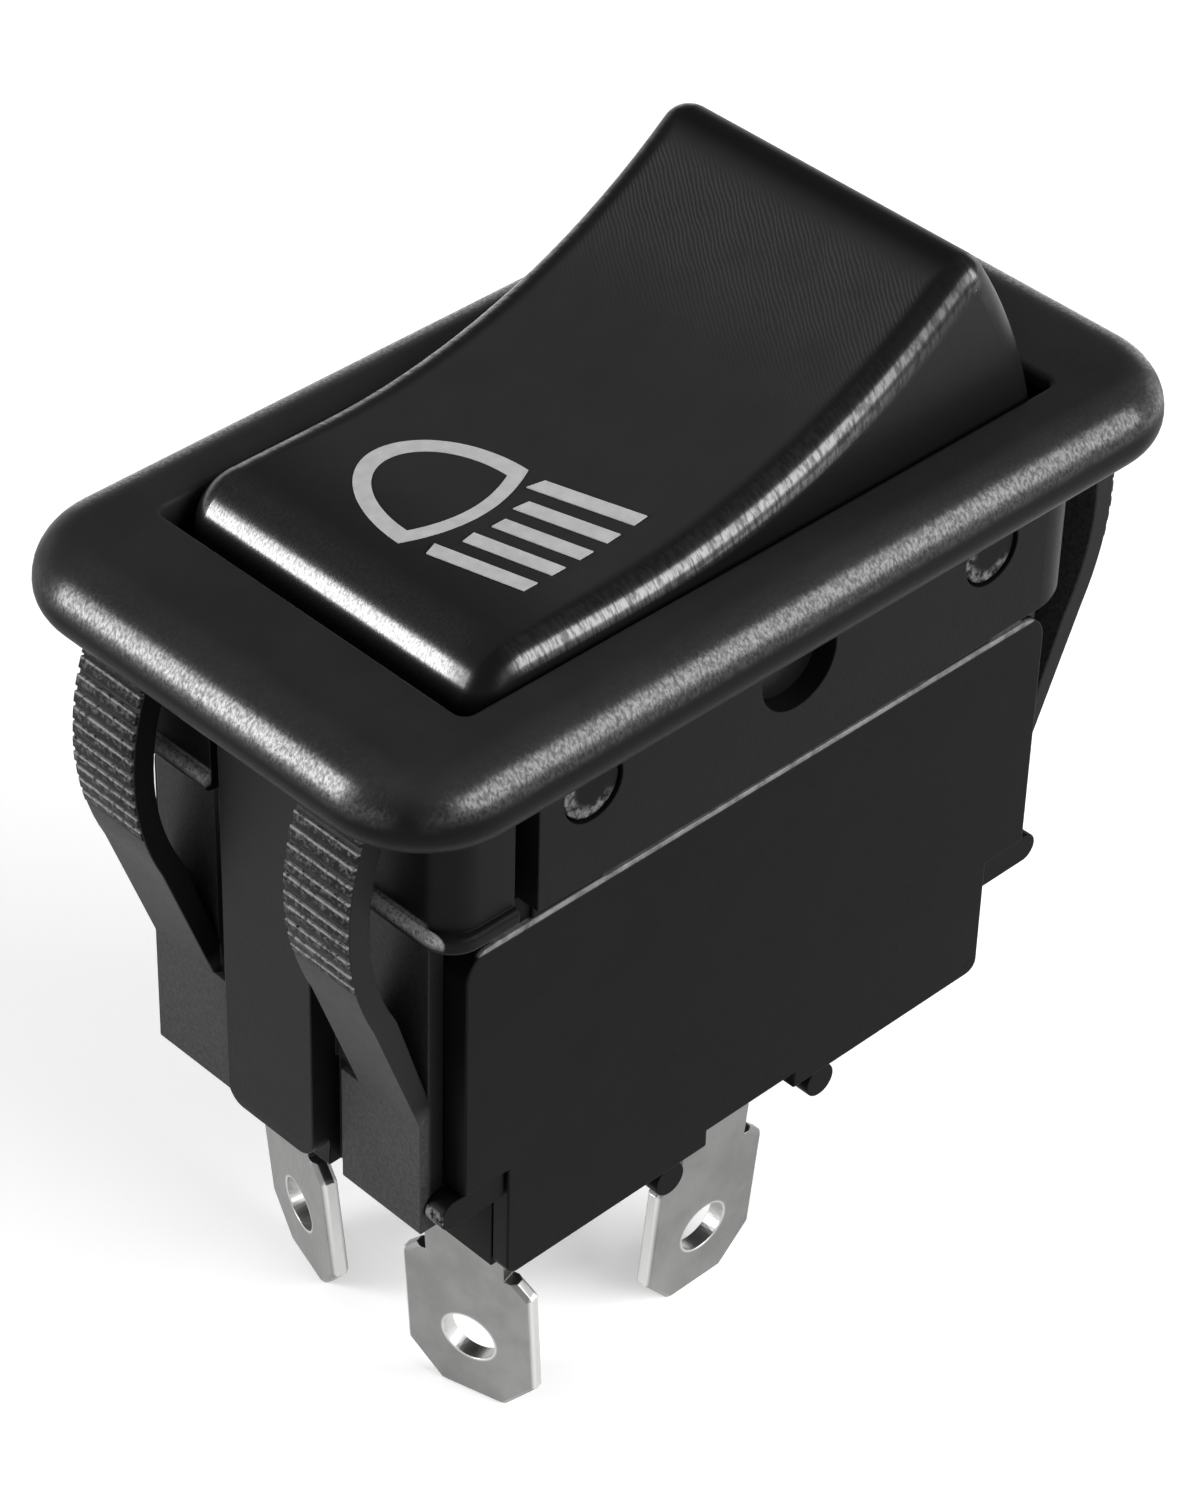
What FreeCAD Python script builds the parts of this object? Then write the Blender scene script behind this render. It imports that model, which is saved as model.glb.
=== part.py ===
"""Panel rocker switch: two poles, on and off, snapped into a rectangular panel cut-out.

Frame: the origin lies in the middle of the bezel, on the panel's face. X runs along the long
side, towards the raised end of the rocker, and Z points out of the panel. The terminals of the
switched side lie towards -X.
"""
import FreeCAD, Part
import Sketcher
import math
import os
import re

# Driving dimensions, in millimetres and degrees
SIZES = {
    # Bezel and the skirt moulded under it
    "bezel_length": 43.64,
    "bezel_width": 24.64,
    "bezel_thickness": 3.3,
    "bezel_corner": 4.6,
    "bezel_top_roll": 2.0,
    "bezel_under_roll": 1.28,
    "window_short": 0.5,
    "window_width": 17.4,
    "window_corner": 0.5,
    "window_edge": 0.3,
    "window_land": 0.75,
    "well_undercut": 0.35,
    "skirt_width": 20.9,
    "skirt_near_out": 2.0,
    "skirt_far_out": 0.95,
    "skirt_near_corner": 1.55,
    "skirt_far_corner": 2.9,
    "skirt_depth": 6.1,
    "skirt_crown": 0.35,
    "slot_start": 13.85,
    "slot_width": 1.2,
    "bead_height": 0.85,
    "bead_stand": 0.3,
    # Rocker and its pivot
    "pivot_drop": 1.68,
    "trunnion_radius": 1.98,
    "trunnion_play": 0.08,
    "trunnion_inset": 0.95,
    "rocker_tilt": 13.5,
    "rocker_offset": 0.5,
    "rocker_width": 17.0,
    "rocker_wall": 1.4,
    "rocker_end_play": 0.5,
    "rocker_end_slope": 2.1,
    "rocker_crest": 10.12,
    "rocker_dip": 3.27,
    "rocker_foot_drop": 2.5,
    "rocker_end_radius": 27.0,
    "rocker_edge": 1.2,
    "rocker_lip": 2.2,
    "rocker_flat_start": 7.0,
    "rocker_rib": 1.0,
    "rocker_rib_drop": 1.2,
    # Spring plungers
    "pole_spacing": 8.8,
    "plunger_radius": 1.2,
    "plunger_reach": 6.15,
    "plunger_length": 5.4,
    "plunger_play": 0.1,
    "socket_wall": 0.8,
    "socket_drop": 3.3,
    "socket_roof": 4.2,
    "spring_wire": 0.32,
    "spring_radius": 0.92,
    "spring_turns": 6,
    "spring_gap": 0.03,
    # Seesaw contacts
    "valley_level": 7.92,
    "seesaw_angle": 7.0,
    "seesaw_beyond": 0.85,
    "seesaw_width": 4.0,
    "seesaw_strip": 0.6,
    "seesaw_ear_depth": 1.4,
    "seesaw_ear_length": 3.0,
    "contact_back": 2.6,
    "contact_aside": 0.2,
    "contact_radius": 1.3,
    "contact_head": 0.8,
    "contact_shank": 0.6,
    "contact_clench": 0.2,
    "contact_eye_play": 0.09,
    "contact_gap": 0.03,
    # Blade terminals
    "blade_width": 6.3,
    "blade_strip": 0.8,
    "blade_tip": 37.4,
    "blade_shoulder": 29.2,
    "blade_shoulder_cut": 0.7,
    "blade_bevel": 0.2,
    "blade_neck": 3.8,
    "blade_bend_level": 27.4,
    "blade_lean": 5.0,
    "blade_chamfer": 1.6,
    "blade_hole_radius": 1.25,
    "blade_hole_up": 3.65,
    "load_in": 3.7,
    "load_y": 5.45,
    "load_turn": 16.0,
    "load_head_reach": 4.3,
    "common_x": 0.6,
    "common_y": 7.55,
    "common_shelf": 18.75,
    # Switch case
    "case_length": 32.7,
    "case_width": 18.5,
    "case_wall": 0.9,
    "case_end_wall": 1.0,
    "case_top": 8.0,
    "case_shoulder": 20.45,
    "case_corner": 1.3,
    "flap_in": 2.35,
    "flap_bottom": 26.4,
    "flap_corner": 0.6,
    "flap_notch_half": 2.6,
    "flap_notch": 0.85,
    "collar_thickness": 0.4,
    "collar_inner": 8.62,
    "collar_top": 6.55,
    "tongue_width": 3.8,
    "tongue_thickness": 0.6,
    "tongue_top": 0.6,
    "tongue_play": 0.05,
    "stud_spacing": 22.1,
    "stud_drop": 1.78,
    "stud_radius": 1.42,
    "stud_play": 0.1,
    "stud_inset": 0.12,
    # Terminal base
    "base_play": 0.06,
    "base_top": 19.6,
    "base_bottom": 26.45,
    "base_slot_play": 0.05,
    "barrier_thickness": 1.0,
    "barrier_top": 10.2,
    "barrier_in": 3.35,
    "post_back": 1.0,
    "post_length": 1.6,
    "post_width": 2.6,
    "peg_radius": 0.8,
    "peg_shank": 1.0,
    "peg_inner_x": 4.5,
    "peg_inner_drop": 27.25,
    "peg_outer_out": 0.4,
    "lug_low": 21.95,
    "lug_high": 20.55,
    "peg_inset": 0.2,
    # Snap clips at the two ends
    "clip_face_out": 1.27,
    "clip_back_out": 0.85,
    "clip_width": 16.06,
    "clip_gap": 0.05,
    "rib_clearance": 0.1,
    "clip_block_top": 16.7,
    "clip_block_bottom": 22.5,
    "clip_top": 6.35,
    "arm_width": 3.65,
    "arm_thickness": 1.17,
    "arm_bow_level": 10.3,
    "arm_bow_out": 3.62,
    "arm_far_spread": 0.35,
    "arm_tip_out": 3.85,
    "arm_tip_level": 0.3,
    "arm_bow_radius": 11.9,
    "clip_rib_out": 2.15,
    "clip_rib_width": 5.2,
    "clip_rib_bottom": 21.75,
    "clip_rib_corner": 0.9,
    "clip_groove_width": 0.75,
    "clip_groove_out": 0.65,
    "clip_rib_gap": 0.6,
    "key_width": 3.0,
    "key_depth": 0.95,
    "key_top": 12.0,
    "key_bottom": 18.0,
    "key_play": 0.05,
}

# Places that follow the case's length
CASE_END = "(case_length / 2)"
FLAP_END = "(case_length / 2 - flap_in)"
WINDOW_END = "(case_length / 2 - window_short / 2)"
WELL_END = "(case_length / 2 - window_short / 2 + well_undercut)"
SKIRT_NEAR = "(case_length / 2 + skirt_near_out)"
SKIRT_FAR = "(case_length / 2 + skirt_far_out)"
CLIP_FACE = "(case_length / 2 + clip_face_out)"
CLIP_BACK = "(case_length / 2 + clip_back_out)"
RIB_FACE = "(case_length / 2 + clip_rib_out)"
ROCKER_FOOT = "(case_length / 2 - window_short / 2 - rocker_end_play)"
ROCKER_TOP = "(case_length / 2 - window_short / 2 - rocker_end_play - rocker_end_slope)"
LOAD_X = "(case_length / 2 - load_in)"
CONTACT_X = "(case_length / 2 - load_in - contact_back)"
SEESAW_END = "(case_length / 2 - load_in - contact_back + seesaw_beyond)"
POST_X = "(case_length / 2 - load_in - contact_back + seesaw_beyond - post_back)"
PEG_OUTER_X = "(case_length / 2 + peg_outer_out)"

doc = FreeCAD.newDocument("rocker_switch")
sheet = doc.addObject("Spreadsheet::Sheet", "sizes")
for row, (alias, number) in enumerate(SIZES.items(), start=1):
    sheet.set("A%d" % row, alias)
    sheet.set("B%d" % row, str(number))
    sheet.setAlias("B%d" % row, alias)
doc.recompute()


def full(text):
    """Name the sheet in front of every size in an expression."""
    return re.sub(r"[a-z_]+", lambda m: ("sizes." if m.group() in SIZES else "") + m.group(), str(text))


def value(text):
    """The number that an expression on the sheet's sizes gives."""
    return float(sheet.evalExpression(full(text)))


def bind(thing, name, text):
    thing.setExpression(name, full(text))


def new_body(label):
    made = doc.addObject("PartDesign::Body", label)
    made.Label = label
    return made


def arc_centre(start, end, radius):
    """Centre of the arc from start to end; a negative radius turns clockwise."""
    half = (end - start) * 0.5
    rise = math.sqrt(max(radius * radius - half.Length ** 2, 0.0))
    left = FreeCAD.Vector(-half.y, half.x, 0).normalize()
    return start + half + left * math.copysign(rise, radius)


def outline(sketch, corners):
    """Closed outline through corners (x, y) or (x, y, radius): the radius is of the arc that arrives."""
    points = [FreeCAD.Vector(value(c[0]), value(c[1]), 0) for c in corners]
    first = sketch.GeometryCount
    ends = []
    for i, corner in enumerate(corners):
        start, end = points[i - 1], points[i]
        if len(corner) == 2:
            sketch.addGeometry(Part.LineSegment(start, end), False)
            ends.append((1, 2))
            continue
        radius = value(corner[2])
        centre = arc_centre(start, end, radius)
        turn = [math.atan2(p.y - centre.y, p.x - centre.x) for p in (start, end)]
        if radius < 0:
            turn.reverse()
        if turn[1] < turn[0]:
            turn[1] += 2 * math.pi
        circle = Part.Circle(centre, FreeCAD.Vector(0, 0, 1), abs(radius))
        sketch.addGeometry(Part.ArcOfCircle(circle, turn[0], turn[1]), False)
        ends.append((1, 2) if radius > 0 else (2, 1))
    for i, corner in enumerate(corners):
        here, after = first + i, first + (i + 1) % len(corners)
        joined = ends[i][1], after, ends[(i + 1) % len(corners)][0]
        sketch.addConstraint(Sketcher.Constraint("Coincident", here, *joined))
        for kind, text in zip(("DistanceX", "DistanceY"), corner):
            number = sketch.addConstraint(Sketcher.Constraint(kind, -1, 1, here, ends[i][1], value(text)))
            bind(sketch, "Constraints[%d]" % number, text)
        if len(corner) == 3:
            number = sketch.addConstraint(Sketcher.Constraint("Radius", here, abs(value(corner[2]))))
            bind(sketch, "Constraints[%d]" % number, "abs(%s)" % corner[2])


def circle(sketch, x, y, radius):
    """Circle about (x, y)."""
    middle = FreeCAD.Vector(value(x), value(y), 0)
    number = sketch.addGeometry(Part.Circle(middle, FreeCAD.Vector(0, 0, 1), value(radius)), False)
    for kind, text in (("DistanceX", x), ("DistanceY", y)):
        line = sketch.addConstraint(Sketcher.Constraint(kind, -1, 1, number, 3, value(text)))
        bind(sketch, "Constraints[%d]" % line, text)
    line = sketch.addConstraint(Sketcher.Constraint("Radius", number, value(radius)))
    bind(sketch, "Constraints[%d]" % line, radius)


def rectangle(x_low, x_high, y_low, y_high):
    return [(x_low, y_low), (x_high, y_low), (x_high, y_high), (x_low, y_high)]


def rounded(x_low, x_high, y_low, y_high, low_radius, high_radius=None):
    """Rectangle with round corners; high_radius is for the two corners at x_high."""
    far = high_radius or low_radius
    return [
        ("(%s) + %s" % (x_low, low_radius), y_low, low_radius),
        ("(%s) - %s" % (x_high, far), y_low),
        (x_high, "(%s) + %s" % (y_low, far), far),
        (x_high, "(%s) - %s" % (y_high, far)),
        ("(%s) - %s" % (x_high, far), y_high, far),
        ("(%s) + %s" % (x_low, low_radius), y_high),
        (x_low, "(%s) - %s" % (y_high, low_radius), low_radius),
        (x_low, "(%s) + %s" % (y_low, low_radius)),
    ]


def sketch_on(body, name, plane, loops=(), circles=(), lift="0"):
    """Sketch on an origin plane of the body (XY, XZ or YZ), lifted along the plane's normal."""
    sketch = body.newObject("Sketcher::SketchObject", name)
    role = plane + "_Plane"
    sketch.AttachmentSupport = [(next(f for f in body.Origin.OriginFeatures if f.Role == role), "")]
    sketch.MapMode = "FlatFace"
    bind(sketch, "AttachmentOffset.Base.z", lift)
    for loop in loops:
        outline(sketch, loop)
    for place in circles:
        circle(sketch, *place)
    return sketch


def pad(body, sketch, length, both=False, back=False):
    """Pad a sketch; both spreads the length to the two sides of its plane."""
    feature = body.newObject("PartDesign::Pad", sketch.Name + "_pad")
    feature.Profile = sketch
    bind(feature, "Length", length)
    feature.SideType = "Symmetric" if both else "One side"
    feature.Reversed = back
    doc.recompute()
    return feature


def pocket(body, sketch, length, both=False, back=False):
    """Cut a sketch out of the body, and stop if nothing was cut."""
    before = body.Shape.Volume
    feature = body.newObject("PartDesign::Pocket", sketch.Name + "_pocket")
    feature.Profile = sketch
    bind(feature, "Length", length)
    feature.SideType = "Symmetric" if both else "One side"
    feature.Reversed = back
    doc.recompute()
    if body.Shape.Volume > before - 1e-6:
        raise RuntimeError("%s: %s cut nothing" % (body.Label, sketch.Name))
    return feature


def revolve(body, sketch):
    """Turn a sketch on the XZ plane once round Z."""
    feature = body.newObject("PartDesign::Revolution", sketch.Name + "_turned")
    feature.Profile = sketch
    feature.ReferenceAxis = (sketch, ["V_Axis"])
    feature.Angle = 360
    doc.recompute()
    return feature


def fillet(body, name, radius, wanted):
    """Round the edges of the body's last feature for which wanted(edge box) is true."""
    base = body.Tip
    names = ["Edge%d" % i for i, e in enumerate(base.Shape.Edges, start=1) if wanted(e.BoundBox)]
    feature = body.newObject("PartDesign::Fillet", name)
    feature.Base = (base, names)
    bind(feature, "Radius", radius)
    doc.recompute()
    return feature


def chamfer(body, name, size, wanted):
    """Bevel the edges of the body's last feature for which wanted(edge box) is true."""
    base = body.Tip
    names = ["Edge%d" % i for i, e in enumerate(base.Shape.Edges, start=1) if wanted(e.BoundBox)]
    feature = body.newObject("PartDesign::Chamfer", name)
    feature.Base = (base, names)
    bind(feature, "Size", size)
    doc.recompute()
    return feature


def turned(body, x="0", y="0", z="0", angle="0", axis=(0, 1, 0)):
    """Place a body at x, y, z, turned by angle about axis."""
    body.Placement.Rotation = FreeCAD.Rotation(FreeCAD.Vector(*axis), value(angle))
    bind(body, "Placement.Rotation.Angle", angle)
    for name, text in (("x", x), ("y", y), ("z", z)):
        bind(body, "Placement.Base." + name, text)
    doc.recompute()


def near(number, text, slack=0.01):
    return abs(number - value(text)) < slack


def bezel_frame():
    """Rounded bezel with the rocker's window, and the skirt that carries the pivot holes."""
    body = new_body("bezel_frame")
    plate = rounded("-bezel_length / 2", "bezel_length / 2", "-bezel_width / 2", "bezel_width / 2",
                    "bezel_corner")
    pad(body, sketch_on(body, "bezel_outline", "XY", [plate]), "bezel_thickness")
    fillet(body, "top_roll", "bezel_top_roll", lambda b: near(b.ZMin, "bezel_thickness"))
    fillet(body, "under_roll", "bezel_under_roll", lambda b: near(b.ZMax, "0"))
    skirt = rounded("-" + SKIRT_NEAR, SKIRT_FAR, "-skirt_width / 2", "skirt_width / 2",
                    "skirt_near_corner", "skirt_far_corner")
    pad(body, sketch_on(body, "skirt_outline", "XY", [skirt]), "skirt_depth + skirt_crown", back=True)
    stand = "(skirt_width / 2 + bead_stand)"
    bead = rounded("-%s - bead_stand" % SKIRT_NEAR, "-slot_start", "-" + stand, stand,
                   "skirt_near_corner", "0.05")
    pad(body, sketch_on(body, "bead", "XY", [bead], lift="-skirt_depth"), "bead_height")
    bead_low, bead_high = value("-skirt_depth"), value("-skirt_depth + bead_height")
    proud_x, proud_y = value("-%s - 0.02" % SKIRT_NEAR), value("skirt_width / 2 + 0.02")
    fillet(body, "bead_round", "bead_stand * 0.9",
           lambda b: b.XMax < value("-slot_start + 0.01") and abs(b.ZMax - b.ZMin) < 0.01
           and min(abs(b.ZMin - bead_low), abs(b.ZMin - bead_high)) < 0.01 and b.DiagonalLength > 1
           and (b.XMin < proud_x or b.YMax > proud_y or b.YMin < -proud_y))
    window = rounded("-" + WINDOW_END, WINDOW_END, "-window_width / 2", "window_width / 2", "window_corner")
    pocket(body, sketch_on(body, "window", "XY", [window], lift="bezel_thickness"),
           "bezel_thickness + skirt_depth + skirt_crown")
    # Under a short land the well is a little longer, so that the swinging ends pass
    well = rounded("-" + WELL_END, WELL_END, "-window_width / 2", "window_width / 2", "window_corner")
    pocket(body, sketch_on(body, "well", "XY", [well], lift="bezel_thickness - window_land"),
           "bezel_thickness + skirt_depth + skirt_crown")
    # The long walls hang a little lower in the middle: what lies under a flat arc is cut away
    spread = "(%s + 1)" % SKIRT_NEAR
    bend = "-((%s)^2 + skirt_crown^2) / (2 * skirt_crown)" % spread
    crown = [(spread, "-skirt_depth"), ("-" + spread, "-skirt_depth", bend),
             ("-" + spread, "-skirt_depth - 2 * skirt_crown"), (spread, "-skirt_depth - 2 * skirt_crown")]
    pocket(body, sketch_on(body, "crown", "XZ", [crown]), "skirt_width + 2", both=True)
    holes = [("0", "-pivot_drop", "trunnion_radius + trunnion_play")]
    holes += [("%s * stud_spacing / 2" % side, "-stud_drop", "stud_radius + stud_play") for side in ("-1", "1")]
    pocket(body, sketch_on(body, "side_holes", "XZ", circles=holes), "skirt_width + 2", both=True)
    slot = rectangle("-slot_start - slot_width", "-slot_start", "-skirt_depth - skirt_crown", "0")
    pocket(body, sketch_on(body, "side_slots", "XZ", [slot]), "skirt_width + 2", both=True)
    # Shallow pockets on the inner face take the tongues of the case
    beds = []
    for side in (-1, 1):
        for end in (-1, 1):
            middle = "%d * stud_spacing / 2" % end
            wide = "tongue_width / 2 + tongue_play"
            edges = ("%d * (window_width / 2 - 0.1)" % side, "%d * (case_width / 2 + tongue_play)" % side)
            edges = sorted(edges, key=value)
            beds.append(rectangle("%s - (%s)" % (middle, wide), "%s + %s" % (middle, wide), *edges))
    pocket(body, sketch_on(body, "tongue_beds", "XY", beds, lift="-tongue_top + tongue_play"),
           "skirt_depth + skirt_crown")
    # The clip's centre ribs stand in a notch in each end of the skirt
    beside = "(clip_rib_width / 2 + clip_rib_gap)"
    notches = [rectangle(CLIP_BACK + " - rib_clearance", SKIRT_NEAR + " + 1", "-" + beside, beside),
               rectangle("-%s - 1" % SKIRT_NEAR, "-%s + rib_clearance" % CLIP_BACK, "-" + beside, beside)]
    pocket(body, sketch_on(body, "rib_notches", "XY", notches), "skirt_depth + skirt_crown")
    beyond, aside = value(WINDOW_END + " + 0.1"), value("window_width / 2 + 0.1")
    fillet(body, "window_rounding", "window_edge",
           lambda b: near(b.ZMin, "bezel_thickness") and -beyond < b.XMin and b.XMax < beyond
           and -aside < b.YMin and b.YMax < aside)
    return body


def rocker_profile(inset):
    """Side view of the rocker about its pivot, level, drawn inside the outer form by inset."""
    top, foot = "(%s - %s)" % (ROCKER_TOP, inset), "(%s - %s)" % (ROCKER_FOOT, inset)
    dish = "((%s^2 + rocker_dip^2) / (2 * rocker_dip))" % ROCKER_TOP
    bow, centre = "(%s + %s)" % (dish, inset), "(rocker_crest - rocker_dip + %s)" % dish
    # Both arcs of the dish have one centre, so the wall under it is even
    crest = "(%s - sqrt(%s^2 - %s^2))" % (centre, bow, top)
    # Past this point the low half runs on straight to the lip
    flat_turn = "asin(rocker_flat_start / %s)" % dish
    flat_x, flat_z = "(%s * sin(%s))" % (bow, flat_turn), "(%s - %s * cos(%s))" % (centre, bow, flat_turn)
    lip = "(%s + (%s - %s) * tan(%s))" % (flat_z, top, flat_x, flat_turn)
    floor = "-rocker_foot_drop" if inset == "0" else "-rocker_foot_drop - 1"
    return [("rocker_offset + " + foot, floor), ("rocker_offset + " + top, crest, "rocker_end_radius"),
            ("rocker_offset - " + flat_x, flat_z, "-" + bow), ("rocker_offset - " + top, lip),
            ("rocker_offset - " + foot, floor, "rocker_end_radius")]


def rocker_button():
    """Hollow rocker with a dished top, two trunnions and two plunger sockets."""
    body = new_body("rocker_button")
    pad(body, sketch_on(body, "rocker_side", "XZ", [rocker_profile("0")]), "rocker_width", both=True)
    fillet(body, "lip", "rocker_lip", lambda b: b.XMax < 0 and b.YLength > value("rocker_width - 0.01")
           and b.ZMin > value("rocker_crest / 2"))
    fillet(body, "rocker_edges", "rocker_edge", lambda b: b.ZMax > value("rocker_crest - 0.01"))
    stub = [("0", "0", "trunnion_radius")]
    pad(body, sketch_on(body, "trunnions", "XZ", circles=stub), "skirt_width - 2 * trunnion_inset", both=True)
    pocket(body, sketch_on(body, "hollow", "XZ", [rocker_profile("rocker_wall")]),
           "rocker_width - 2 * rocker_wall", both=True)
    fillet(body, "lip_inside", "rocker_lip - rocker_wall", lambda b: b.XMax < value("-" + ROCKER_TOP + " / 2")
           and b.YLength > value("rocker_width - 2 * rocker_wall - 0.01") and b.ZMin > value("rocker_crest / 2")
           and b.YLength < value("rocker_width - 2 * rocker_wall + 0.01"))
    roof = "rocker_crest - rocker_dip - rocker_wall / 2"
    poles = ["%d * pole_spacing / 2" % side for side in (-1, 1)]
    sockets = [("0", pole, "plunger_radius + plunger_play + socket_wall") for pole in poles]
    pad(body, sketch_on(body, "sockets", "XY", circles=sockets, lift="-socket_drop"), "socket_drop + " + roof)
    in_wall = "(rocker_width / 2 - rocker_wall / 2)"
    rib = rectangle("-rocker_rib / 2", "rocker_rib / 2", "-" + in_wall, in_wall)
    pad(body, sketch_on(body, "cross_rib", "XY", [rib], lift="-rocker_rib_drop"), "rocker_rib_drop + " + roof)
    bores = [("0", pole, "plunger_radius + plunger_play") for pole in poles]
    pocket(body, sketch_on(body, "plunger_bores", "XY", circles=bores, lift="-socket_drop"),
           "socket_drop + socket_roof", back=True)
    turned(body, z="-pivot_drop", angle="-rocker_tilt")
    return body


def lean_on_rocker(body, side):
    """Put a piece that is drawn about the pivot into the rocker's socket on one side."""
    turned(body, y="%d * pole_spacing / 2" % side, z="-pivot_drop", angle="-rocker_tilt")


def plunger(label, side):
    """Round-nosed plunger; the spring stands on its flat top."""
    body = new_body(label)
    half = [("0", "-plunger_reach"), ("plunger_radius", "-plunger_reach + plunger_radius", "plunger_radius"),
            ("plunger_radius", "-plunger_reach + plunger_length"), ("0", "-plunger_reach + plunger_length")]
    revolve(body, sketch_on(body, label + "_half", "XZ", [half]))
    lean_on_rocker(body, side)
    return body


def plunger_spring(label, side):
    """Round-wire compression spring between the socket's roof and the plunger."""
    foot = value("-plunger_reach + plunger_length + spring_wire / 2 + spring_gap")
    head = value("socket_roof - spring_wire / 2 - spring_gap")
    turns, radius, wire = value("spring_turns"), value("spring_radius"), value("spring_wire / 2")
    helix = Part.makeHelix((head - foot) / turns, head - foot, radius)
    start = FreeCAD.Vector(radius, 0, 0)
    section = Part.Wire(Part.makeCircle(wire, start, FreeCAD.Vector(0, 1, 0)))
    coil = Part.Wire(helix.Edges).makePipeShell([section], True, True)
    feature = doc.addObject("Part::Feature", label)
    feature.Label = label
    feature.Shape = Part.Solid(coil) if coil.ShapeType == "Shell" else coil
    tilt = FreeCAD.Rotation(FreeCAD.Vector(0, 1, 0), value("-rocker_tilt"))
    pivot = FreeCAD.Vector(0, value("%d * pole_spacing / 2" % side), value("-pivot_drop"))
    feature.Placement = FreeCAD.Placement(pivot + tilt * FreeCAD.Vector(0, 0, foot), tilt)
    return feature


def seesaw_contact(label, side):
    """Shallow V of springy strip that tips on the common terminal's post, with two ears astride it."""
    body = new_body(label)
    run = SEESAW_END + " * cos(seesaw_angle)"
    rise = SEESAW_END + " * sin(seesaw_angle)"
    strip = "seesaw_strip / cos(seesaw_angle)"
    vee = [("0", "0"), (run, rise), (run, "%s + %s" % (rise, strip)), ("0", strip),
           ("-" + run, "%s + %s" % (rise, strip)), ("-" + run, rise)]
    pad(body, sketch_on(body, label + "_vee", "XZ", [vee]), "seesaw_width", both=True)
    ears = []
    for end in (-1, 1):
        edges = "%d * (blade_strip / 2 + 0.25)" % end, "%d * (blade_strip / 2 + 0.75)" % end
        edges = sorted(edges, key=value)
        ears.append(rectangle("-seesaw_ear_length / 2", "seesaw_ear_length / 2", *edges))
    pad(body, sketch_on(body, label + "_ears", "XY", ears, lift="-seesaw_ear_depth"),
        "seesaw_ear_depth + seesaw_strip / 2")
    eye = [("-" + CONTACT_X, "%d * contact_aside" % side, "contact_shank + contact_eye_play")]
    pocket(body, sketch_on(body, label + "_eye", "XY", circles=eye, lift=SEESAW_END), "2 * " + SEESAW_END)
    turned(body, y="%d * pole_spacing / 2" % side, z="-valley_level - seesaw_strip", angle="seesaw_angle")
    return body


def rivet(label, head_above):
    """Contact button: a flat head and a shank that is clenched over on the far side of its strip."""
    body = new_body(label)
    sign = "1" if head_above else "-1"
    strip = "blade_strip" if head_above else "seesaw_strip"
    flange = "contact_shank + 0.25"
    half = [("0", "%s * contact_head" % sign), ("contact_radius", "%s * contact_head" % sign),
            ("contact_radius", "0"), ("contact_shank", "0"), ("contact_shank", "-(%s) * (%s)" % (sign, strip)),
            (flange, "-(%s) * (%s)" % (sign, strip)),
            ("contact_shank", "-(%s) * (%s + contact_clench)" % (sign, strip)),
            ("0", "-(%s) * (%s + contact_clench)" % (sign, strip))]
    revolve(body, sketch_on(body, label + "_half", "XZ", [half]))
    return body


def moving_contact(label, side):
    """Rivet under the seesaw's switched end, tipped with it."""
    body = rivet(label, head_above=False)
    # The arm of the V points up by the seesaw's angle, and the rest position tips it by as much again
    lift = "2 * seesaw_angle"
    reach = CONTACT_X + " / cos(seesaw_angle)"
    turned(body, x="-(%s) * cos(%s)" % (reach, lift), y="%d * (pole_spacing / 2 + contact_aside)" % side,
           z="-valley_level - seesaw_strip + (%s) * sin(%s)" % (reach, lift), angle=lift)
    return body


def fixed_contact(label, side):
    """Rivet on the head of a load terminal."""
    body = rivet(label, head_above=True)
    turned(body, x="-" + CONTACT_X, y="%d * (pole_spacing / 2 + contact_aside)" % side,
           z="-valley_level - seesaw_strip - contact_gap - 2 * contact_head")
    return body


def blade_cuts(body, label, neck_top):
    """Narrow the neck above the shoulders, bevel the tip and punch the hole."""
    half, neck = "blade_width / 2", "blade_neck / 2"
    sides, bevels = [], []
    for side in (-1, 1):
        inner, edge = "%d * %s" % (side, neck), "%d * (%s" % (side, half)
        sides.append([(inner, "-blade_shoulder"), (edge + " - blade_shoulder_cut)", "-blade_shoulder"),
                      (edge + ")", "-blade_shoulder - blade_shoulder_cut"),
                      (edge + " + 1)", "-blade_shoulder - blade_shoulder_cut"), (edge + " + 1)", neck_top),
                      (inner, neck_top)])
        bevels.append([("%d * (%s + 1)" % (side, half), "-blade_tip - 1"),
                       ("%d * (%s + 1)" % (side, half), "-blade_tip + 1.2 * blade_chamfer + 1.2"),
                       ("%d * (%s - blade_chamfer - 1)" % (side, half), "-blade_tip - 1.2")])
    pocket(body, sketch_on(body, label + "_neck", "XZ", sides), "40", both=True)
    pocket(body, sketch_on(body, label + "_corners", "XZ", bevels), "40", both=True)
    chamfer(body, label + "_bevel", "blade_bevel",
            lambda b: b.ZMax < value("-blade_shoulder + 0.01")
            and b.DiagonalLength > value("blade_strip + 0.1"))
    hole = [("0", "-blade_tip + blade_hole_up", "blade_hole_radius")]
    pocket(body, sketch_on(body, label + "_hole", "XZ", circles=hole), "40", both=True)


def leaning_blade(thickness_low, thickness_high):
    """The blade's lower end in side view: it leans towards the middle of the switch."""
    drop = "(blade_tip - blade_bend_level)"
    shift = "%s * tan(blade_lean)" % drop
    return [("%s + %s" % (thickness_low, shift), "-blade_tip"),
            ("%s + %s" % (thickness_high, shift), "-blade_tip"), (thickness_high, "-blade_bend_level")]


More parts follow.
